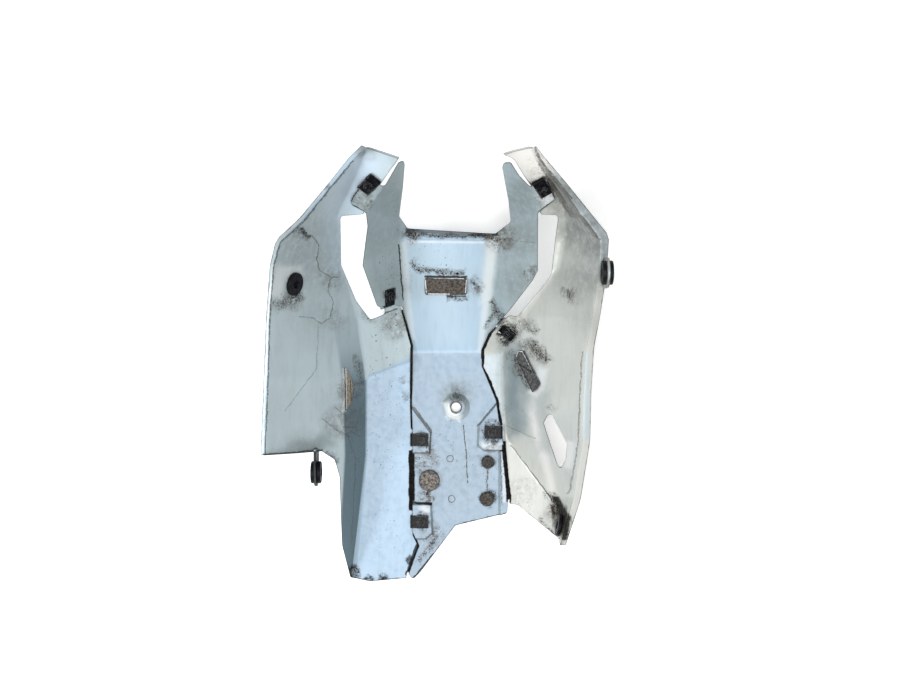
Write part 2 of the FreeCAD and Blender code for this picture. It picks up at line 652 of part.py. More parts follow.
for side, edge in (("near", "-Sizes.clip_wide / 2"), ("far", "Sizes.clip_wide / 2 - Sizes.clip_thk")):
    feature(clip, "AdditiveBox", "clip_rib_" + side, {
        "Length": "Sizes.clip_back + Sizes.clip_reach / 2",
        "Width": "Sizes.clip_thk",
        "Height": "Sizes.clip_thk + Sizes.clip_rib",
        "Placement.Base.x": "-Sizes.clip_back",
        "Placement.Base.y": edge,
        "Placement.Base.z": "Sizes.play"})
feature(clip, "AdditiveCylinder", "clip_barrel", {
    "Radius": "Sizes.barrel_r",
    "Height": "Sizes.clip_thk + Sizes.barrel_high",
    "Placement.Base.z": "Sizes.play"})
feature(clip, "SubtractiveCylinder", "clip_thread", {
    "Radius": "Sizes.screw_r + Sizes.play",
    "Height": "40",
    "Placement.Base.z": "-20"})

screw = new_body("panel_screw_pattern")
SCREW_FOOT = "-(2 * Sizes.wall_thk + Sizes.clip_thk + 2 * Sizes.play)"
feature(screw, "AdditiveCylinder", "screw_shank", {
    "Radius": "Sizes.screw_r",
    "Height": "Sizes.screw_end + 2 * Sizes.wall_thk + Sizes.clip_thk + 2 * Sizes.play",
    "Placement.Base.z": SCREW_FOOT})
feature(screw, "AdditiveCone", "screw_head", {
    "Radius1": "Sizes.head_r",
    "Radius2": "Sizes.screw_r",
    "Height": "Sizes.head_high",
    "Placement.Base.z": SCREW_FOOT})
feature(screw, "SubtractivePrism", "screw_hexagon", {
    "Circumradius": "Sizes.hex_r",
    "Height": "Sizes.hex_deep + 1",
    "Placement.Base.z": SCREW_FOOT + " - 1"})


def grommet(label):
    body = new_body(label)
    feature(body, "AdditiveCylinder", label + "_neck", {
        "Radius": "Sizes.grommet_neck_r",
        "Height": "Sizes.wall_thk + 2 * Sizes.play + 2 * Sizes.grommet_flange",
        "Placement.Base.z": "-Sizes.wall_thk - Sizes.play - Sizes.grommet_flange"})
    feature(body, "AdditiveCylinder", label + "_inner_flange", {
        "Radius": "Sizes.grommet_r",
        "Height": "Sizes.grommet_flange",
        "Placement.Base.z": "Sizes.play"})
    feature(body, "AdditiveCylinder", label + "_outer_flange", {
        "Radius": "Sizes.grommet_r",
        "Height": "Sizes.grommet_flange",
        "Placement.Base.z": "-Sizes.wall_thk - Sizes.play - Sizes.grommet_flange"})
    feature(body, "SubtractiveCylinder", label + "_bore", {
        "Radius": "Sizes.grommet_bore_r",
        "Height": "60",
        "Placement.Base.z": "-30"})
    body.Placement = GROMMET_SEATS[label]
    nodes.append(body)


for label in GROMMET_SEATS:
    grommet(label)

front_pad = new_body("front_foam_pad")
feature(front_pad, "AdditiveBox", "front_pad_block", {
    "Length": "Sizes.pad_long",
    "Width": "Sizes.pad_wide",
    "Height": "Sizes.pad_thk",
    "Placement.Base.x": "-Sizes.pad_long / 2",
    "Placement.Base.y": "-Sizes.pad_wide / 2"})
doc.recompute()
uprights = ["Edge%d" % k for k, edge in enumerate(front_pad.Tip.Shape.Edges, start=1)
            if abs(edge.tangentAt(edge.FirstParameter).z) > 0.9]
pad_block = front_pad.Tip
pad_corners = front_pad.newObject("PartDesign::Fillet", "front_pad_corners")
pad_corners.Base = (pad_block, uprights)
pad_corners.setExpression("Radius", "Sizes.pad_round")
front_pad.Placement = drop_seat(centre_inner, -12, 144, Vec(1, 0, 0))
nodes.append(front_pad)

STOPS = {
    "left_round_stop": ("big_stop_r", -32, -88),
    "right_front_round_stop": ("small_stop_r", 38, -66),
    "right_rear_round_stop": ("mid_stop_r", 37, -110),
}
for label, (radius, x, y) in STOPS.items():
    stop = new_body(label)
    feature(stop, "AdditiveCylinder", label + "_disc", {
        "Radius": "Sizes." + radius,
        "Height": "Sizes.stop_thk"})
    stop.Placement = FreeCAD.Placement(Vec(x, y, 0), FreeCAD.Rotation())
    nodes.append(stop)

# These two follow the wall they are stuck to.
FLANK_PAD = [(70, 60), (72, 68), (77, 68), (94, 30), (87, 20)]
TORN_FELT = [(-128, 50), (-123, 40), (-120, 25), (-122, 8), (-127, -1), (-127, 25)]
for label, net, outline, thick in (
        ("flank_foam_pad", right_net, FLANK_PAD, size("pad_thk")),
        ("torn_felt_patch", left_net, TORN_FELT, size("felt_thk"))):
    patch = doc.addObject("Part::Feature", label)
    patch.Shape = slab(net, -thick, 0.0).common(prism(outline))
    patch.Label = label
    nodes.append(patch)

doc.recompute()
for label, body in (("clip_nuts", clip), ("panel_screws", screw)):
    group = doc.addObject("Part::Compound", label)
    group.Label = label
    links = []
    for name, placement in CLIP_SEATS.items():
        link = doc.addObject("App::Link", label + "_" + name)
        link.LinkedObject = body
        link.Placement = placement
        links.append(link)
    group.Links = links
    nodes.append(group)

lowered = FreeCAD.Placement(Vec(0, 0, -size("mount_rise")), FreeCAD.Rotation())
for node in nodes:
    node.Placement = lowered.multiply(node.Placement)
doc.recompute()

for item in doc.Objects:
    if "Invalid" in item.State or "Error" in item.State:
        raise RuntimeError("not built: " + item.Name)
for node in nodes:
    shape = node.Shape
    if shape.isNull() or not shape.isValid():
        raise RuntimeError("bad shape: " + node.Label)
    print(node.Label, len(shape.Solids), round(shape.Volume))
    shape.exportStep("parts/%s.step" % node.Label)
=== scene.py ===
import math

import bpy
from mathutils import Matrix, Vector


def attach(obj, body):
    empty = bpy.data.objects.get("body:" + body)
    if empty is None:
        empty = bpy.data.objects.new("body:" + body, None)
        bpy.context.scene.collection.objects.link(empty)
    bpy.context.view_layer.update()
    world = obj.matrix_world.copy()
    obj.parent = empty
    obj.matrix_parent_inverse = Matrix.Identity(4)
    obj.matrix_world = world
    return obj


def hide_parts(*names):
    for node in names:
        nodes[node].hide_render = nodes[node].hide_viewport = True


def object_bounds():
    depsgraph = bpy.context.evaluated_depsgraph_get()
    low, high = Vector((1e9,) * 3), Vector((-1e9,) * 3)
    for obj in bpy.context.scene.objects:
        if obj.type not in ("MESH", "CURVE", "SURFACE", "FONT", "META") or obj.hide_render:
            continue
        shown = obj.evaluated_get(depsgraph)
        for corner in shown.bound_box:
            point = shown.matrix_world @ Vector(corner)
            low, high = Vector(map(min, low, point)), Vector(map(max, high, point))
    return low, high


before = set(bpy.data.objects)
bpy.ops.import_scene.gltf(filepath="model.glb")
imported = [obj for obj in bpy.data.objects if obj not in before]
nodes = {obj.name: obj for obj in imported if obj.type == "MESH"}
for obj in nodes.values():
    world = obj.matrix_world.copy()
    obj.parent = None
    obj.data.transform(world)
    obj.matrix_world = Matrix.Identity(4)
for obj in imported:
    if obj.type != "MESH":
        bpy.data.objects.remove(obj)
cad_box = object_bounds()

# Looks of a worn motorcycle skid plate, lying on its outside and seen from straight above.
# Places are in millimetres in the part's own frame: x to the right, y to the front, z up.

MM = 0.001


def mm(x, y, z=0.0):
    return Vector((x, y, z)) * MM


# Smooth folds, crisp edges and worn edges, as modifiers.

WELD_REACH = 0.02
SHARP_ANGLE = math.radians(34)
FLAT_ANGLE = math.radians(1)
WORN_STEPS = 3
STOP_WORN = 1.0
LEFT_STOP_WORN = 1.2
GROMMET_WORN = 0.9
# How far the edges of the rubber parts are worn round.
WORN_ROUND = {
    "left_round_stop": LEFT_STOP_WORN,
    "right_front_round_stop": STOP_WORN,
    "right_rear_round_stop": STOP_WORN,
    "front_left_grommet": GROMMET_WORN,
    "front_right_grommet": GROMMET_WORN,
    "rear_left_grommet": GROMMET_WORN,
    "rear_right_grommet": GROMMET_WORN,
}


def join_corners(item):
    weld = item.modifiers.new("weld", "WELD")
    weld.merge_threshold = WELD_REACH * MM


def wear_round(item, worn):
    """Joins the flats of a part, then rounds its sharp edges by so many millimetres."""
    merge = item.modifiers.new("flats_joined", "DECIMATE")
    merge.decimate_type = "DISSOLVE"
    merge.angle_limit = FLAT_ANGLE
    bevel = item.modifiers.new("worn", "BEVEL")
    bevel.width = worn * MM
    bevel.segments = WORN_STEPS
    bevel.limit_method = "ANGLE"
    bevel.angle_limit = SHARP_ANGLE


def smooth_folds(item, worn):
    """Lets the short flats of a fold shade as one round, and rounds the edges of a worn part."""
    for face in item.data.polygons:
        face.use_smooth = True
    join_corners(item)
    if worn:
        wear_round(item, worn)
    split = item.modifiers.new("edges", "EDGE_SPLIT")
    split.split_angle = SHARP_ANGLE
    weighted = item.modifiers.new("flats", "WEIGHTED_NORMAL")
    weighted.keep_sharp = True


# Shader building blocks.

class Shader:
    """A material's node tree, with short names for the nodes used most."""

    def __init__(self, tree):
        self.tree = tree

    def node(self, kind, inputs=None, **settings):
        item = self.tree.nodes.new(kind)
        for name, value in settings.items():
            setattr(item, name, value)
        for name, value in (inputs or {}).items():
            self.feed(item.inputs[name], value)
        return item

    def feed(self, socket, value):
        if isinstance(value, bpy.types.NodeSocket):
            self.tree.links.new(value, socket)
        else:
            socket.default_value = value

    def math(self, operation, a, b=0.0):
        return self.node("ShaderNodeMath", {0: a, 1: b}, operation=operation).outputs[0]

    def vector(self, operation, a, b=(0.0, 0.0, 0.0)):
        return self.node("ShaderNodeVectorMath", {0: a, 1: b}, operation=operation)

    def noise(self, place, feature, detail=4.0, roughness=0.55):
        """Cloudy noise whose largest features are so many millimetres across."""
        scale = 1.0 / (feature * MM)
        return self.node("ShaderNodeTexNoise", {
            "Vector": place, "Scale": scale, "Detail": detail, "Roughness": roughness})

    def ramp(self, value, low, high):
        """From 0 at low to 1 at high, which may lie below low."""
        return self.node(
            "ShaderNodeMapRange", {"Value": value, "From Min": low, "From Max": high},
            interpolation_type="SMOOTHSTEP").outputs[0]

    def mix(self, mask, a, b):
        # The colour mix has its factor at 0, its colours at 6 and 7, and its result at 2.
        item = self.node("ShaderNodeMix", {0: mask, 6: a, 7: b}, data_type="RGBA")
        return item.outputs[2]


LOOSE_REACH = 5
LOOSE_SIZE = 2.4
EDGE_LEAN = (0.8, 0.97)
EDGE_SAMPLES = 6
ROUND_SAMPLES = 4
EDGE_ROUND = 0.6
RELIEF_STRENGTH = 0.5


class Surface(Shader):
    """A material with its place in the frame and two places in plan, a little and very ragged."""

    def __init__(self, name, ragged=2.0, ragged_size=9.0):
        self.material = bpy.data.materials.new(name)
        self.material.use_nodes = True
        super().__init__(self.material.node_tree)
        self.tree.nodes.clear()
        self.place = self.node("ShaderNodeTexCoord").outputs["Object"]
        flat = self.vector("MULTIPLY", self.place, (1.0, 1.0, 0.0)).outputs[0]
        self.plan = self.shifted(flat, ragged, ragged_size)
        self.loose = self.shifted(flat, LOOSE_REACH * ragged, LOOSE_SIZE * ragged_size)
        self.facing = self.node("ShaderNodeNewGeometry").outputs["Normal"]

    def shifted(self, flat, reach, feature):
        """A plan place pushed about by noise, so that the marks laid on it get ragged borders."""
        cloud = self.noise(self.place, feature, detail=6, roughness=0.65).outputs["Color"]
        shift = self.vector("SUBTRACT", cloud, (0.5, 0.5, 0.5)).outputs[0]
        span = 2 * reach * MM
        shift = self.vector("MULTIPLY", shift, (span, span, 0.0)).outputs[0]
        return self.vector("ADD", flat, shift).outputs[0]

    def stronger(self, whole, mask, strength=1.0):
        """Adds one mask to a whole: the stronger of the two at each place."""
        mask = self.math("MULTIPLY", mask, strength)
        return mask if whole is None else self.math("MAXIMUM", whole, mask)

    def spots(self, marks, core=0.5):
        """One mask for a list of round spots: (x, y, radius, strength)."""
        whole = None
        for x, y, radius, strength in marks:
            apart = self.vector("DISTANCE", self.loose, mm(x, y)).outputs["Value"]
            mask = self.ramp(apart, radius * MM, core * radius * MM)
            whole = self.stronger(whole, mask, strength)
        return whole

    def strokes(self, paths, core=0.5, place=None):
        """One mask for a list of strokes: (width, strength, points that it runs through)."""
        whole = None
        place = place or self.plan
        for width, strength, points in paths:
            reach = width / 2 * MM
            for start, end in zip(points, points[1:]):
                run = mm(*end) - mm(*start)
                ahead = run.normalized()
                middle = mm(*start) + run / 2
                past = self.math("SUBTRACT", self.off_line(place, middle, ahead), run.length / 2)
                beside = self.off_line(place, middle, Vector((-ahead.y, ahead.x, 0.0)))
                apart = self.math("MAXIMUM", past, beside)
                whole = self.stronger(whole, self.ramp(apart, reach, core * reach), strength)
        return whole

    def off_line(self, place, middle, across):
        """How far a place lies from a line through a middle, measured along one direction."""
        reading = self.vector("DOT_PRODUCT", place, across).outputs["Value"]
        return self.math("ABSOLUTE", self.math("SUBTRACT", reading, middle.dot(across)))

    def rings(self, marks):
        """One mask for a list of round lines: (x, y, radius, width of the line)."""
        whole = None
        for x, y, radius, width in marks:
            apart = self.vector("DISTANCE", self.plan, mm(x, y)).outputs["Value"]
            off = self.math("ABSOLUTE", self.math("SUBTRACT", apart, radius * MM))
            whole = self.stronger(whole, self.ramp(off, width / 2 * MM, width / 4 * MM))
        return whole

    def edges(self, radius):
        """Mask of the edges, from how far a rounded normal leans away from the true one."""
        soft = self.node("ShaderNodeBevel", {"Radius": radius * MM}, samples=EDGE_SAMPLES).outputs[0]
        lean = self.vector("DOT_PRODUCT", soft, self.facing).outputs["Value"]
        return self.math("SUBTRACT", 1.0, self.ramp(lean, *EDGE_LEAN))

    def tone_through_grain(self, colour, mask, grain, cover, tone):
        """Colour with a tone laid on where a mask and a grain both allow it."""
        return self.mix(self.math("MULTIPLY", mask, self.ramp(grain, *cover)), colour, tone)

    def finish(self, colour, roughness, bump, height, shine, glow=0.0):
        """Closes the material with relief from a bump value, and rounded-looking edges."""
        soft = self.node("ShaderNodeBevel", {"Radius": EDGE_ROUND * MM}, samples=ROUND_SAMPLES)
        normal = self.node("ShaderNodeBump", {
            "Height": bump, "Strength": RELIEF_STRENGTH, "Distance": height * MM,
            "Normal": soft.outputs[0]})
        inputs = {
            "Base Color": colour, "Roughness": roughness, "Normal": normal.outputs[0],
            "Specular IOR Level": shine, "Emission Color": colour, "Emission Strength": glow}
        body = self.node("ShaderNodeBsdfPrincipled", inputs)
        output = self.node("ShaderNodeOutputMaterial")
        self.tree.links.new(body.outputs[0], output.inputs[0])
        return self.material


# Paint of the three panels, with painted light and shade in their tones and marks.

GRIME_AND_SHADOW_BLACK = (0.012, 0.011, 0.010, 1.0)
BROWN_GRIME = (0.10, 0.078, 0.056, 1.0)
GREY_FILM_AND_SHADE = (0.12, 0.13, 0.125, 1.0)
HAIRLINE_AND_SHADE = (0.10, 0.095, 0.085, 1.0)
HIGHLIGHT_AND_BARE_EDGE = (0.78, 0.81, 0.82, 1.0)
EDGE_DIRT_AND_SHADE = (0.055, 0.055, 0.052, 1.0)
SHADE = (0.20, 0.25, 0.265, 1.0)

# Tones change with how far a face looks up, from sheer to slope, then level, then flat: painted
# light, pale blue on level faces as a painted sky reflection and darker on steep faces as painted
# shade.  Along the foot of a wall the sheer tone, a painted shade, ends this far in front of the
# origin.
FOOT_ENDS = 110.0
SLOPE_LOOK = (0.36, 0.6)
LEVEL_LOOK = 0.97
FLAT_LOOK = (0.975, 0.998)
INSIDE_LOOK = (-0.06, -0.02)

# Sizes of the patterns in the dirt.
CLOUD_SIZE = 7
GRAIN_SIZE = 2.0
DOT_SIZE = 2.6
STREAK_SIZE = 6
STREAK_DRAWN = (1.0, 0.14, 0.3)

# Where a pattern lets dirt through: from no cover to full cover.
WIPED_COVER = (0.42, 0.8)
SCUFF_COVER = (0.6, 0.72)
FILM_AND_SHADE_COVER = (0.1, 0.6)
EDGE_COVER = (0.1, 0.45)
CORNER_COVER = (0.25, 0.6)
STAIN_COVER = (0.33, 0.64)
STAIN_GRAIN = (0.57, 0.66)
GRIME_COVER = (0.32, 0.58)
GRIME_GRAIN = (0.52, 0.60)
SMEAR_COVER = (0.3, 0.6)
SMEAR_GRAIN = (0.46, 0.58)
DOT_COVER = (0.67, 0.71)
HAIRLINE_AND_SHADE_COVER = (0.3, 0.5)

# How much of each dirt shows at most.
WIPED_MOST = 0.16
SCUFF_MOST = 0.7
CORNER_MOST = 0.85
STAIN_MOST = 0.75
GRIME_MOST = 0.9
SMEAR_MOST = 0.75

EDGE_REACH = 2.0
CORNER_REACH = 8
CORNER_SAMPLES = 6
CORNER_OPEN = (0.3, 0.74)
PALE_CORE = 0.15
PAINT_RELIEF = 0.03
SMOOTHEST = 0.28
ROUGHER = 0.25
ROUGH_COVER = (0.4, 0.8)
PAINT_SHINE = 0.5
SHINY_FROM = (0.0, 0.3)


def lit_tones(paint, flat, level, slope, sheer, level_from, upward):
    """Painted light and shade: the paint's colour by how far each face looks up."""
    forward = paint.node("ShaderNodeSeparateXYZ", {0: paint.place}).outputs["Y"]
    foot = paint.mix(paint.ramp(forward, 0.0, FOOT_ENDS * MM), sheer, slope)
    colour = paint.mix(paint.ramp(upward, *SLOPE_LOOK), foot, slope)
    colour = paint.mix(paint.ramp(upward, level_from, LEVEL_LOOK), colour, level)
    return paint.mix(paint.ramp(upward, *FLAT_LOOK), colour, flat)


def painted(name, flat, level, slope, sheer, bright, level_from, film_and_shade, stains, grime, specks, seams_and_shadow_lines,
            hairlines_and_shade_lines, pale, smears, lit_strokes, shade=(), rings=()):
    """Worn satin paint with painted light: tones from flat to sheer, with dirt, painted highlights
    and painted shade at their places.

    The film_and_shade, stains, grime and specks are spots, the rings are rings, and the rest are
    strokes.
    """
    paint = Surface(name)
    upward = paint.node("ShaderNodeSeparateXYZ", {0: paint.facing}).outputs["Z"]
    colour = lit_tones(paint, flat, level, slope, sheer, level_from, upward)

    cloud = paint.noise(paint.place, CLOUD_SIZE, detail=9, roughness=0.7).outputs[0]
    grain = paint.noise(paint.place, GRAIN_SIZE, detail=4).outputs[0]
    drawn = paint.vector("MULTIPLY", paint.place, STREAK_DRAWN).outputs[0]
    streak = paint.noise(drawn, STREAK_SIZE, detail=6, roughness=0.65).outputs[0]
    wiped = paint.math("MULTIPLY", paint.ramp(streak, *WIPED_COVER), WIPED_MOST)
    colour = paint.mix(wiped, colour, GREY_FILM_AND_SHADE)
    outside = paint.mix(wiped, slope, GREY_FILM_AND_SHADE)
    outside = paint.tone_through_grain(outside, SCUFF_MOST, streak, SCUFF_COVER, EDGE_DIRT_AND_SHADE)
    # Painted light: strokes of the bright tone where facets should look more lit.
    colour = paint.mix(paint.strokes(lit_strokes, core=0.0), colour, bright)
    if shade:
        colour = paint.mix(paint.strokes(shade, core=0.0, place=paint.loose), colour, SHADE)
    # Soft grey spots: a film of grime, and painted shade on walls that face away from the light.
    colour = paint.tone_through_grain(colour, paint.spots(film_and_shade, core=0.0), cloud, FILM_AND_SHADE_COVER, GREY_FILM_AND_SHADE)
    # Pale strokes: painted highlights on folds, edges and the boss, with some bare paint at worn
    # edges.
    colour = paint.mix(paint.strokes(pale, core=PALE_CORE), colour, HIGHLIGHT_AND_BARE_EDGE)

    # Darker along the edges: edge dirt and painted shade lines.
    colour = paint.tone_through_grain(colour, paint.edges(EDGE_REACH), cloud, EDGE_COVER, EDGE_DIRT_AND_SHADE)
    # Painted shade: darker in corners and hollows that the occlusion node finds, with corner grime.
    corner = paint.node(
        "ShaderNodeAmbientOcclusion", {"Distance": CORNER_REACH * MM}, samples=CORNER_SAMPLES)
    corner = paint.math("SUBTRACT", 1.0, paint.ramp(corner.outputs["AO"], *CORNER_OPEN))
    corner = paint.math("MULTIPLY", corner, CORNER_MOST)
    colour = paint.tone_through_grain(colour, corner, cloud, CORNER_COVER, GRIME_AND_SHADOW_BLACK)

    brown = paint.spots(stains)
    black = paint.spots(grime)
    most = paint.math("MULTIPLY", brown, STAIN_MOST)
    colour = paint.tone_through_grain(colour, most, cloud, STAIN_COVER, BROWN_GRIME)
    colour = paint.tone_through_grain(colour, brown, grain, STAIN_GRAIN, GRIME_AND_SHADOW_BLACK)
    most = paint.math("MULTIPLY", black, GRIME_MOST)
    colour = paint.tone_through_grain(colour, most, cloud, GRIME_COVER, GRIME_AND_SHADOW_BLACK)
    colour = paint.tone_through_grain(colour, black, grain, GRIME_GRAIN, GRIME_AND_SHADOW_BLACK)
    rubbed = paint.strokes(smears, core=0.0, place=paint.loose)
    most = paint.math("MULTIPLY", rubbed, SMEAR_MOST)
    colour = paint.tone_through_grain(colour, most, cloud, SMEAR_COVER, BROWN_GRIME)
    colour = paint.tone_through_grain(colour, rubbed, grain, SMEAR_GRAIN, GRIME_AND_SHADOW_BLACK)
    dots = paint.noise(paint.place, DOT_SIZE, detail=2).outputs[0]
    colour = paint.tone_through_grain(colour, paint.spots(specks), dots, DOT_COVER, GRIME_AND_SHADOW_BLACK)

    # Dark lines: cracks, and painted shade lines along rims, creases and steps.
    colour = paint.tone_through_grain(colour, paint.strokes(hairlines_and_shade_lines), grain, HAIRLINE_AND_SHADE_COVER, HAIRLINE_AND_SHADE)
    # Rings: mould marks, and painted shade round the centre hole.
    if rings:
        colour = paint.mix(paint.rings(rings), colour, HAIRLINE_AND_SHADE)
    # Black lines: dark seams, and painted shadow in the gaps and along the steps beside them.
    colour = paint.mix(paint.strokes(seams_and_shadow_lines), colour, GRIME_AND_SHADOW_BLACK)
    colour = paint.mix(paint.ramp(upward, *INSIDE_LOOK), outside, colour)

    # Dark dirt is matt, and so is painted shade: the paint shines less where its colour is darker.
    rougher = paint.math("MULTIPLY", paint.ramp(cloud, *ROUGH_COVER), ROUGHER)
    roughness = paint.math("ADD", SMOOTHEST, rougher)
    value = paint.node("ShaderNodeRGBToBW", {0: colour}).outputs[0]
    shine = paint.math("MULTIPLY", paint.ramp(value, *SHINY_FROM), PAINT_SHINE)
    return paint.finish(colour, roughness, cloud, PAINT_RELIEF, shine=shine)


# The same white paint takes its own tones on each panel: painted light, bluish grey on the left
# walls that face away from the light and beige on the right walls that face it.
LEFT_PAINT = painted(
    "left_panel_paint_and_light", flat=(0.33, 0.475, 0.62, 1), level=(0.33, 0.475, 0.62, 1),
    slope=(0.51, 0.61, 0.645, 1), sheer=(0.145, 0.20, 0.22, 1), bright=(0.56, 0.68, 0.79, 1),
    level_from=0.92,
    film_and_shade=[
        (-160, 176, 90, 0.5), (-150, 110, 60, 0.25), (-126, 0, 50, 0.25), (-96, 288, 26, 0.8),
        (-70, 110, 40, 0.3), (-200, 10, 60, 0.15), (-175, -46, 44, 0.4)
    ],
    stains=[
        (-124, 22, 16, 0.7), (-178, 124, 14, 0.5), (-140, 150, 16, 0.4), (-140, 104, 16, 0.3),
        (-70, 100, 24, 0.6), (-138, 248, 12, 0.9), (-163, 192, 8, 0.7), (-130, -14, 26, 0.5),
        (-100, 110, 14, 0.5)
    ],
    grime=[
        (-88, -206, 9, 1.0), (-106, -209, 9, 1.0), (-124, -199, 12, 1.0), (-57, -184, 6, 0.9),
        (-146, -58, 13, 0.9), (-161, 193, 5, 1.0), (-60, 14, 7, 0.4), (-62, 32, 6, 0.4)
    ],
    specks=[
        (-80, 20, 60, 1.0), (-90, -60, 50, 0.9), (-75, 96, 40, 0.8), (-80, -150, 40, 0.7),
        (-124, 22, 26, 0.8)
    ],
    seams_and_shadow_lines=[
        (5.0, 1.0, [(-55, -54), (-55, -122)]), (5.0, 0.9, [(-47, -166), (-59, -200)]),
        (9.0, 0.9, [(-157, -46), (-157, -92)]), (2.6, 0.8, [(-209, -43), (-152, -44)]),
        (2.4, 0.7, [(-104, 106), (-70, 117)]),
        (2.6, 0.7, [(-60, -205), (-103, -209), (-126, -204)])
    ],
    hairlines_and_shade_lines=[
        (1.4, 0.8, [
            (-161, 190), (-155, 193), (-150, 184), (-153, 170), (-151, 158), (-141, 151),
            (-132, 152)]),
        (1.4, 0.7, [
            (-141, 151), (-144, 135), (-139, 124), (-143, 105), (-151, 99), (-159, 105),
            (-171, 106)]),
        (1.1, 0.5, [(-187, 3), (-156, 49), (-154, 101)]), (1.2, 0.6, [(-152, -8), (-123, -32)]),
        (1.2, 0.7, [(-140, -20), (-130, -28), (-122, -26), (-114, -34)]),
        (1.2, 0.6, [(-126, -28), (-118, -60), (-121, -110), (-124, -160)]),
        (1.2, 0.6, [(-138, 4), (-126, -8), (-129, -20), (-117, -22)]),
        (2.0, 0.9, [
            (-109, 268), (-131, 240), (-160, 203), (-184, 181), (-191, 156), (-197, 104),
            (-201, 40), (-207, -44)]),
        (1.8, 0.9, [
            (-134, 244), (-164, 207), (-188, 185), (-195, 158), (-201, 104), (-206, 40),
            (-212, -44)])
    ],
    pale=[
        (20.0, 0.5, [(-190, 132), (-184, 152), (-172, 154)]),
        (6.0, 0.8, [(-129, 46), (-128, 22), (-129, 0)])
    ],
    smears=[
        (16.0, 0.7, [(-188, 118), (-172, 128)]), (10.0, 0.6, [(-118, 60), (-112, 30)]),
        (14.0, 0.6, [(-132, -190), (-126, -206)])
    ],
    lit_strokes=[
        (54.0, 0.9, [(-96, 266), (-112, 234)]),
        (34.0, 0.7, [(-132, 222), (-136, 190), (-132, 160)])
    ],
    shade=[(30.0, 0.6, [(-200, -48), (-148, -34)])])
RIGHT_PAINT = painted(
    "right_panel_paint_and_light", flat=(0.48, 0.56, 0.60, 1), level=(0.48, 0.55, 0.575, 1),
    slope=(0.55, 0.565, 0.53, 1), sheer=(0.55, 0.57, 0.54, 1), bright=(0.82, 0.80, 0.77, 1),
    level_from=0.955,
    film_and_shade=[
        (118, 228, 46, 0.7), (134, 202, 46, 0.85), (146, 180, 40, 0.8), (138, 146, 50, 0.6),
        (142, 104, 40, 0.3), (116, -128, 28, 0.5)
    ],
    stains=[
        (92, 67, 12, 0.9), (100, 60, 9, 0.8), (84, 74, 12, 0.8), (82, 98, 12, 0.5),
        (72, 46, 12, 0.7), (66, 62, 10, 0.6), (93, 243, 18, 0.7), (122, 132, 8, 0.7),
        (70, 110, 10, 0.6), (118, -120, 14, 0.8), (90, 262, 22, 0.3), (107, 4, 6, 0.6),
        (104, 250, 9, 0.6), (112, 236, 8, 0.4), (78, -100, 24, 0.3)
    ],
    grime=[
        (61, 88, 18, 1.0), (120, -120, 12, 1.0), (118, -110, 8, 0.9), (76, 246, 6, 0.7),
        (54, 100, 8, 0.9)
    ],
    specks=[(70, 60, 26, 0.7), (64, -10, 26, 0.6), (95, 250, 30, 0.9), (84, -120, 26, 0.6)],
    seams_and_shadow_lines=[
        (9.0, 0.9, [(118, -106), (123, -118), (121, -140)]),
        (4.0, 1.0, [(41, 88), (33, 70), (32, 48), (41, 30), (50, 8), (54, -20)]),
        (3.6, 1.0, [(58, -42), (65, -114)]), (3.0, 0.9, [(74, -118), (115, -150)]),
        (2.0, 0.7, [(66, -46), (112, -106)])
    ],
    hairlines_and_shade_lines=[
        (1.2, 0.6, [(60, -22), (92, -34)]), (2.4, 0.9, [(84, 274), (106, 246), (119, 228)]),
        (1.6, 0.7, [(134, 68), (132, 20), (132, -30), (125, -92)]),
        (3.0, 0.8, [(82, 282), (88, 267), (108, 240), (125, 215), (148, 185)]),
        (1.8, 0.9, [
            (93, 271), (114, 245), (134, 219), (158, 189), (156, 149), (151, 106), (146, 72),
            (144, 22)]),
        (1.8, 0.9, [(144, 22), (144, -28), (137, -95), (123, -150)])
    ],
    pale=[
        (16.0, 0.7, [(97, 44), (94, 30), (90, 22)]), (12.0, 0.3, [(126, -36), (121, -60)]),
        (4.0, 0.7, [(78, 69), (95, 32)])
    ],
    smears=[
        (16.0, 0.9, [(88, 74), (100, 58)]), (12.0, 0.9, [(70, 62), (82, 26)]),
        (12.0, 0.7, [(78, 100), (88, 92)]), (10.0, 0.6, [(122, 134), (124, 124)]),
        (20.0, 1.0, [(112, -104), (122, -136)]), (10.0, 0.8, [(100, -134), (116, -150)])
    ],
    lit_strokes=[
        (50.0, 0.9, [(68, 278), (90, 268)]), (18.0, 0.6, [(84, 2), (101, -50), (114, -96)]),
        (12.0, 0.6, [(125, -34), (124, -58)])
    ],
    shade=[
        (54.0, 0.95, [(66, 60), (69, 2)]), (44.0, 0.85, [(69, 2), (72, -22)]),
        (24.0, 0.35, [(98, 14), (102, -44)])
    ])
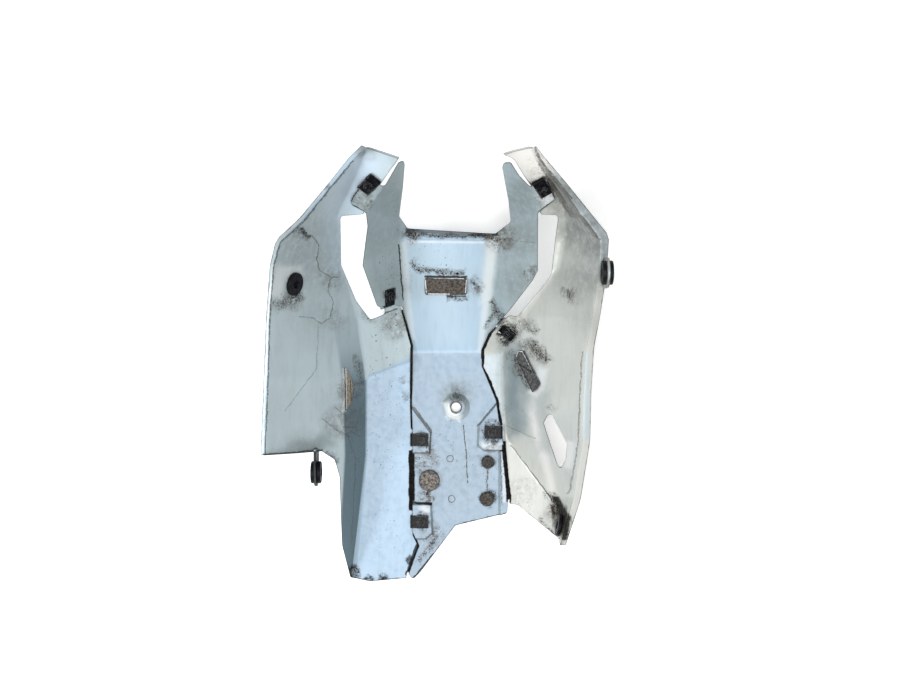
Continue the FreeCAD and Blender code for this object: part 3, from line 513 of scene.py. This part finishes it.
CENTRE_PAINT = painted(
    "centre_panel_paint_and_light", flat=(0.25, 0.355, 0.46, 1), level=(0.42, 0.57, 0.715, 1),
    slope=(0.365, 0.45, 0.48, 1), sheer=(0.34, 0.41, 0.43, 1), bright=(0.55, 0.68, 0.80, 1),
    level_from=0.84,
    film_and_shade=[
        (-85, 195, 60, 0.35), (-78, 150, 50, 0.35), (-74, 234, 50, 0.4), (70, 195, 64, 0.6),
        (74, 146, 60, 0.55), (74, 236, 56, 0.6), (0, 14, 30, 0.8), (-4, -70, 90, 0.15)
    ],
    stains=[
        (-50, 203, 16, 0.9), (50, 199, 22, 1.0), (24, 144, 12, 0.8), (84, 156, 9, 0.8),
        (-28, -155, 22, 0.5), (44, -46, 14, 0.8), (-36, -64, 22, 0.9), (-36, -110, 14, 0.9),
        (-104, 232, 16, 0.7), (98, 236, 16, 0.6)
    ],
    grime=[
        (0, 12, 11, 0.5), (-42, -39, 13, 0.6), (43, -30, 18, 0.7), (-42, -137, 14, 0.7),
        (-77, 131, 11, 0.6), (-32, -88, 16, 0.9), (38, -66, 11, 0.9), (38, -110, 12, 0.9)
    ],
    specks=[
        (-75, 160, 30, 1.0), (-30, 170, 30, 1.0), (0, -50, 50, 0.8), (-30, -160, 30, 0.9),
        (45, -90, 30, 0.9), (-60, 215, 26, 0.9)
    ],
    seams_and_shadow_lines=[
        (2.0, 0.9, [(-66, 189), (-62, 128)]), (3.6, 1.0, [(56, -46), (62, -112)]),
        (7.0, 1.0, [(-52, -58), (-52, -110)]), (4.0, 0.9, [(-52, -114), (-30, -116)]),
        (3.0, 0.9, [(-1, -143), (-19, -167), (-52, -206)]), (2.6, 0.9, [(60, -127), (-1, -142)]),
        (2.4, 0.9, [(-52, -150), (-45, -166), (-57, -200)]), (3.0, 0.9, [(-36, 154.5), (12, 154)]),
        (3.0, 0.8, [(-10, 132), (11, 132)]), (7.0, 0.8, [(-56, 206), (-5, 204.5), (45, 202.5)]),
        (2.2, 0.9, [(-96, 255), (-117, 229), (-99, 220)]),
        (2.2, 0.9, [(89, 220), (107, 233), (96, 254)])
    ],
    hairlines_and_shade_lines=[
        (2.0, 1.0, [(9, -22), (12, -54), (14, -90)]), (1.6, 0.9, [(53, -57), (55, -117)]),
        (2.6, 0.9, [(-52, 2), (-30, -28), (-31, -56)]), (2.6, 0.8, [(50, 6), (26, -22)]),
        (3.0, 0.9, [(39, -74), (37, -90), (38, -104)])
    ],
    pale=[
        (22.0, 0.45, [(41, 192), (35, 128)]), (14.0, 0.4, [(35, 128), (30, 72)]),
        (12.0, 0.3, [(-60, 190), (-57, 128), (-52, 84)]), (8.0, 0.2, [(-58, 194), (42, 193)]),
        (14.0, 0.8, [(2, -12), (-7, -9), (-11, 2)]), (16.0, 0.5, [(-38, -121), (-36, -123)]),
        (12.0, 0.5, [(34, -46), (50, -47)]), (6.0, 0.4, [(57, -64), (58, -112)]),
        (24.0, 0.7, [(92, 246), (98, 234)])
    ],
    smears=[
        (13.0, 1.0, [(-50, 172), (-42, 162), (-10, 159), (4, 158)]),
        (10.0, 0.9, [(-54, 202), (44, 199)]), (14.0, 1.0, [(42, 124), (54, 104)]),
        (10.0, 0.8, [(36, 96), (44, 112)]), (12.0, 0.6, [(20, 146), (26, 138)]),
        (8.0, 0.8, [(-8, 130), (12, 130)]), (12.0, 0.7, [(-44, -186), (-28, -164), (-23, -146)]),
        (10.0, 0.9, [(-34, -102), (-32, -112)]), (8.0, 0.8, [(50, 30), (44, 60)])
    ],
    lit_strokes=[(70.0, 0.35, [(-14, 180), (-8, 90)])],
    # The ring round the centre hole is painted shade that darkens the hole; the two small rings are
    # mould marks.
    rings=[(-7, -62, 4.0, 1.4), (-5, -110, 4.0, 1.4), (0, 0, 6.0, 4.0)])


# Materials of the small parts.

SMALL_RAGGED = {"ragged": 0.8, "ragged_size": 4.0}
FOAM_COVER = (0.38, 0.66)
BORDER_COVER = (0.3, 0.5)
RIM_COVER = (0.2, 0.45)
STOP_SPECK_SIZE = 2.6
STOP_SPREAD = 1.35
STOP_COVER = (0.36, 0.62)
DUST_SIZE = 4
DUST_COVER = (0.45, 0.75)
BRIGHT_REACH = 1.0
BRIGHT_COVER = (0.4, 0.56)


def mottled(name, dark, pale, feature, cover, roughness, height, shine=0.5, glow=0.0):
    """Two tones in cloudy patches, with the same pattern as fine relief."""
    surface = Surface(name)
    cloud = surface.noise(surface.place, feature, detail=8, roughness=0.65).outputs[0]
    colour = surface.mix(surface.ramp(cloud, *cover), dark, pale)
    return surface.finish(colour, roughness, cloud, height, shine=shine, glow=glow)


def foam_or_felt(name, dark, pale, feature, borders, rims):
    """Dirty and finely mottled, with pale borders and black rims where the strokes lie: the borders
    are painted edge highlights with some bare paint, the rims painted shadow lines with dirt.
    """
    surface = Surface(name, **SMALL_RAGGED)
    cloud = surface.noise(surface.place, feature, detail=8, roughness=0.75).outputs[0]
    colour = surface.mix(surface.ramp(cloud, *FOAM_COVER), dark, pale)
    # Pale borders: painted edge highlights, with some bare paint.
    colour = surface.tone_through_grain(colour, surface.strokes(borders), cloud, BORDER_COVER, HIGHLIGHT_AND_BARE_EDGE)
    # Black rims: painted shadow lines, with dirt.
    colour = surface.tone_through_grain(colour, surface.strokes(rims), cloud, RIM_COVER, GRIME_AND_SHADOW_BLACK)
    return surface.finish(colour, roughness=0.9, bump=cloud, height=0.5, shine=0.1)


def round_stop(name, x, y, radius, dark, pale):
    """Perished rubber disc, paler and speckled in the middle and dark at its rim."""
    surface = Surface(name, **SMALL_RAGGED)
    cloud = surface.noise(surface.place, STOP_SPECK_SIZE, detail=6, roughness=0.7).outputs[0]
    middle = surface.spots([(x, y, STOP_SPREAD * radius, 1.0)])
    middle = surface.math("MULTIPLY", middle, surface.ramp(cloud, *STOP_COVER))
    colour = surface.mix(middle, dark, pale)
    return surface.finish(colour, roughness=0.85, bump=cloud, height=0.5, shine=0.2)


def coated(name, dark, dusty, worn):
    """Black coated steel, dusty in patches, and lighter along its edges: painted edge highlights
    with some wear.
    """
    surface = Surface(name)
    cloud = surface.noise(surface.place, DUST_SIZE, detail=8, roughness=0.65).outputs[0]
    colour = surface.mix(surface.ramp(cloud, *DUST_COVER), dark, dusty)
    # Painted highlights along the edges, with some wear, in the worn tone.
    colour = surface.tone_through_grain(colour, surface.edges(BRIGHT_REACH), cloud, BRIGHT_COVER, worn)
    return surface.finish(colour, roughness=0.35, bump=cloud, height=0.25, shine=0.12)


STEEL = coated(
    "black_steel_with_edge_highlights", dark=(0.003, 0.003, 0.004, 1), dusty=(0.022, 0.022, 0.024, 1),
    worn=(0.20, 0.21, 0.22, 1))
SEAM_SHADOW = mottled(
    "seam_shadow_black", dark=(0.006, 0.006, 0.006, 1), pale=(0.03, 0.027, 0.024, 1), feature=5,
    cover=(0.4, 0.75), roughness=0.9, height=0.3, shine=0.1)
RUBBER = mottled(
    "grommet_rubber", dark=(0.005, 0.005, 0.007, 1), pale=(0.02, 0.021, 0.026, 1), feature=8,
    cover=(0.45, 0.8), roughness=0.5, height=0.1, shine=0.15)
RUBBER_DARK = (0.022, 0.021, 0.020, 1)
FELT = foam_or_felt(
    "torn_felt", dark=(0.20, 0.16, 0.11, 1), pale=(0.60, 0.53, 0.43, 1), feature=2.4,
    borders=[(2.0, 0.8, [(-127, 48), (-127, 2)])], rims=[(1.4, 0.6, [(-123, 34), (-122, 10)])])
FRONT_FOAM = foam_or_felt(
    "dirty_front_foam", dark=(0.04, 0.035, 0.031, 1), pale=(0.155, 0.133, 0.117, 1), feature=3.0,
    borders=[(1.6, 0.9, [(-32, 153), (8, 152)]), (1.6, 0.8, [(-32, 134.5), (-8, 134)]),
             (1.4, 0.8, [(-36, 150), (-35, 136)]), (1.4, 0.8, [(12, 150), (11, 136)])],
    rims=[(2.0, 1.0, [(-38, 155.5), (14, 155.5)]), (1.6, 0.9, [(-10, 133), (12, 133)])])
FLANK_FOAM = foam_or_felt(
    "dirty_flank_foam", dark=(0.035, 0.035, 0.036, 1), pale=(0.17, 0.17, 0.17, 1), feature=2.6,
    borders=[(1.8, 0.9, [(70, 60), (72, 68), (77, 67)]), (1.6, 0.8, [(77, 67), (94, 31)])],
    rims=[(1.6, 0.9, [(74, 52), (86, 44)]), (1.8, 0.8, [(70, 60), (87, 21)])])

FINISH = {
    "left_side_panel": LEFT_PAINT,
    "right_side_panel": RIGHT_PAINT,
    "centre_panel": CENTRE_PAINT,
    "clip_nuts": STEEL,
    "panel_screws": STEEL,
    "left_round_stop": round_stop(
        "worn_left_stop", x=-32, y=-88, radius=12.4,
        dark=(0.045, 0.042, 0.04, 1), pale=(0.27, 0.245, 0.22, 1)),
    "right_front_round_stop": round_stop(
        "worn_right_front_stop", x=38, y=-66, radius=7.4,
        dark=RUBBER_DARK, pale=(0.075, 0.07, 0.066, 1)),
    "right_rear_round_stop": round_stop(
        "worn_right_rear_stop", x=37, y=-110, radius=8.4,
        dark=RUBBER_DARK, pale=(0.10, 0.09, 0.08, 1)),
}
# The grommets take the rubber, and so do the three soft solids, which their own pieces hide below.
for name, item in nodes.items():
    smooth_folds(item, WORN_ROUND.get(name))
    item.data.materials.clear()
    item.data.materials.append(FINISH.get(name, RUBBER))


# Soft pads: each is its own closed form in the space of its plain solid, with round, sunken
# sides and a crumbled skin.  All of it lies inside the solid.

CRUMB_SIZE = 3.0
CRUMB_DEPTH = 3
SUNKEN = 0.5
SUNKEN_ROUNDS = 4
CRUMB = bpy.data.textures.new("crumb", "CLOUDS")
CRUMB.noise_scale = CRUMB_SIZE * MM
CRUMB.noise_depth = CRUMB_DEPTH


def soft_pad(name, node, material, worn, voxel, crumbled):
    """A worn pad in place of a plain solid: rounded by so much and crumbled by so much."""
    piece = bpy.data.objects.new(name, nodes[node].data.copy())
    piece.data.materials.clear()
    piece.data.materials.append(material)
    bpy.context.collection.objects.link(piece)
    join_corners(piece)
    wear_round(piece, worn)
    skin = piece.modifiers.new("skin", "REMESH")
    skin.mode = "VOXEL"
    skin.voxel_size = voxel * MM
    skin.use_smooth_shade = True
    sink = piece.modifiers.new("sunken", "SMOOTH")
    sink.factor = SUNKEN
    sink.iterations = SUNKEN_ROUNDS
    crumble = piece.modifiers.new("crumbled", "DISPLACE")
    crumble.texture = CRUMB
    crumble.texture_coords = "LOCAL"
    crumble.mid_level = 0.0
    crumble.strength = -crumbled * MM
    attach(piece, "root")
    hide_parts(node)


soft_pad(
    "worn_front_foam", "front_foam_pad", FRONT_FOAM,
    worn=1.6, voxel=0.7, crumbled=0.6)
soft_pad(
    "worn_flank_foam", "flank_foam_pad", FLANK_FOAM,
    worn=1.4, voxel=0.7, crumbled=0.6)
soft_pad(
    "torn_felt", "torn_felt_patch", FELT,
    worn=0.3, voxel=0.4, crumbled=0.3)


# Black strips under the two seams between the panels: painted shadow in the gaps.

SEAM_WIDE = 3.0
SEAM_DEEP = 1.2
BELOW_PANEL = 0.9
ABOVE_ALL = 400.0
DOWN = Vector((0, 0, -1))


def seam_shadow_strip(name, host, beside, path):
    """Black strip of painted shadow along a path in plan, a little below the panel that lies beside
    it.
    """
    middles = []
    for x, y in path:
        _, point, _, _ = nodes[host].ray_cast(mm(x + beside, y, ABOVE_ALL), DOWN)
        middles.append(mm(x, y) + Vector((0, 0, point.z - BELOW_PANEL * MM)))
    down = DOWN * (SEAM_DEEP * MM)
    corners = []
    for k, middle in enumerate(middles):
        run = middles[min(k + 1, len(middles) - 1)] - middles[max(k - 1, 0)]
        across = Vector((run.y, -run.x, 0)).normalized() * (SEAM_WIDE / 2 * MM)
        left = middle - across
        right = middle + across
        corners += [left, right, right + down, left + down]
    # Four corners at each point of the path: two end caps, then four sides along each run.
    faces = [(0, 1, 2, 3), tuple(len(corners) - 1 - k for k in range(4))]
    for start in range(0, len(corners) - 4, 4):
        for side in range(4):
            follow = (side + 1) % 4
            faces.append((start + side, start + 4 + side, start + 4 + follow, start + follow))
    mesh = bpy.data.meshes.new(name)
    mesh.from_pydata(corners, [], faces)
    mesh.materials.append(SEAM_SHADOW)
    piece = bpy.data.objects.new(name, mesh)
    bpy.context.collection.objects.link(piece)
    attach(piece, "root")


seam_shadow_strip("left_seam_shadow", "left_side_panel", beside=-2.5, path=[
    (-64, 116), (-53, 74), (-54, 2), (-53, -24), (-53, -148), (-45, -166), (-57.5, -198)])
seam_shadow_strip("right_seam_shadow", "right_side_panel", beside=3.0, path=[
    (47, 95), (39.5, 87), (31.5, 67.5), (31.5, 49), (39.5, 30.5), (48.5, 8.5), (53, -20),
    (57.5, -44), (63, -111)])


# Floor, light and camera.

FLOOR_HALF = 3.0
FLOOR_DROP = 0.3
floor_height = cad_box[0][2] - FLOOR_DROP * MM
bpy.ops.mesh.primitive_plane_add(size=2 * FLOOR_HALF, location=(0, 0, floor_height))
floor = bpy.context.object
floor.name = "floor"
# The floor glows a little, so that the windows of the part look white.
floor.data.materials.append(mottled(
    "pale_floor", dark=(0.86, 0.86, 0.86, 1), pale=(0.90, 0.90, 0.90, 1), feature=400,
    cover=(0.3, 0.7), roughness=0.8, height=0.05, glow=0.35))


def area_light(name, place, aim, size, power):
    """A square light, with its place, aim and size in metres and its power in watts."""
    data = bpy.data.lights.new(name, "AREA")
    data.size = size
    data.energy = power
    item = bpy.data.objects.new(name, data)
    item.location = place
    item.rotation_euler = (Vector(aim) - Vector(place)).to_track_quat("-Z", "Y").to_euler()
    bpy.context.collection.objects.link(item)


area_light("key", place=(-2.0, -0.9, 1.9), aim=(0, 0.05, 0.05), size=0.6, power=38)
area_light("sky", place=(0.0, -0.3, 2.6), aim=(0, 0.05, 0), size=1.6, power=52)

WORLD_STRENGTH = 0.3
world = bpy.data.worlds.new("studio")
world.use_nodes = True
background = world.node_tree.nodes["Background"]
background.inputs["Color"].default_value = (1.0, 1.0, 1.0, 1.0)
background.inputs["Strength"].default_value = WORLD_STRENGTH
bpy.context.scene.world = world
bpy.context.scene.view_settings.view_transform = "Standard"

# The photo looks straight down, with the front of the part at its top.
CAMERA_PLACE = mm(-7.2, 83.4, 1395)
LENS = 46.7
SENSOR = 36.0
lens = bpy.data.cameras.new("camera")
lens.lens = LENS
lens.sensor_width = SENSOR
camera = bpy.data.objects.new("camera", lens)
camera.location = CAMERA_PLACE
bpy.context.collection.objects.link(camera)
bpy.context.scene.camera = camera
